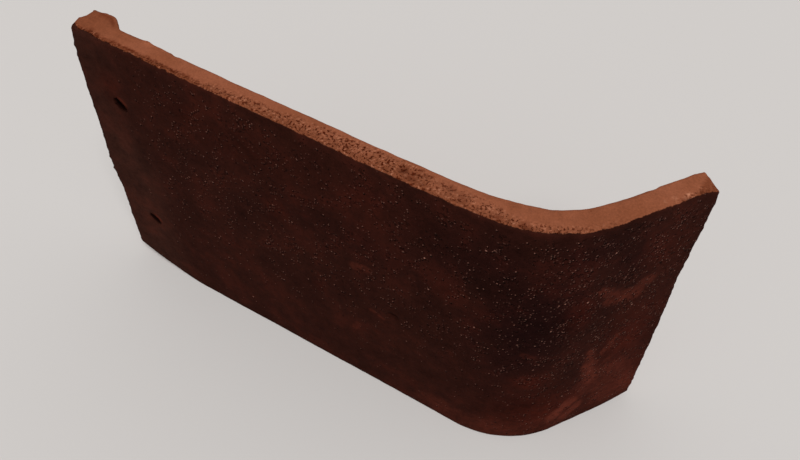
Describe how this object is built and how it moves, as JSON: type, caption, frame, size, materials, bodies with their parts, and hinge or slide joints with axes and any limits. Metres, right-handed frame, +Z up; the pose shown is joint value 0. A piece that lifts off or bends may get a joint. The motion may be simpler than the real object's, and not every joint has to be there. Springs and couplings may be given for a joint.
{
  "type": "bent clay roof tile",
  "caption": "Handmade sand-faced clay plain tile, bent near its tail for a change of roof pitch, with nail holes and nibs at the head, standing on a long side edge.",
  "frame": {"origin": "bottom centre of the tile's box, on the floor that the tile's long side edge stands on", "axes": "+X along the long leg from the head to the tail, +Y from the weather face to the back, +Z up across the tile's width"},
  "size_m": [0.291, 0.0704, 0.165],
  "materials": {
    "clay": "matte"
  },
  "bodies": {
    "root": {"tile": "clay"}
  },
  "joints": []
}
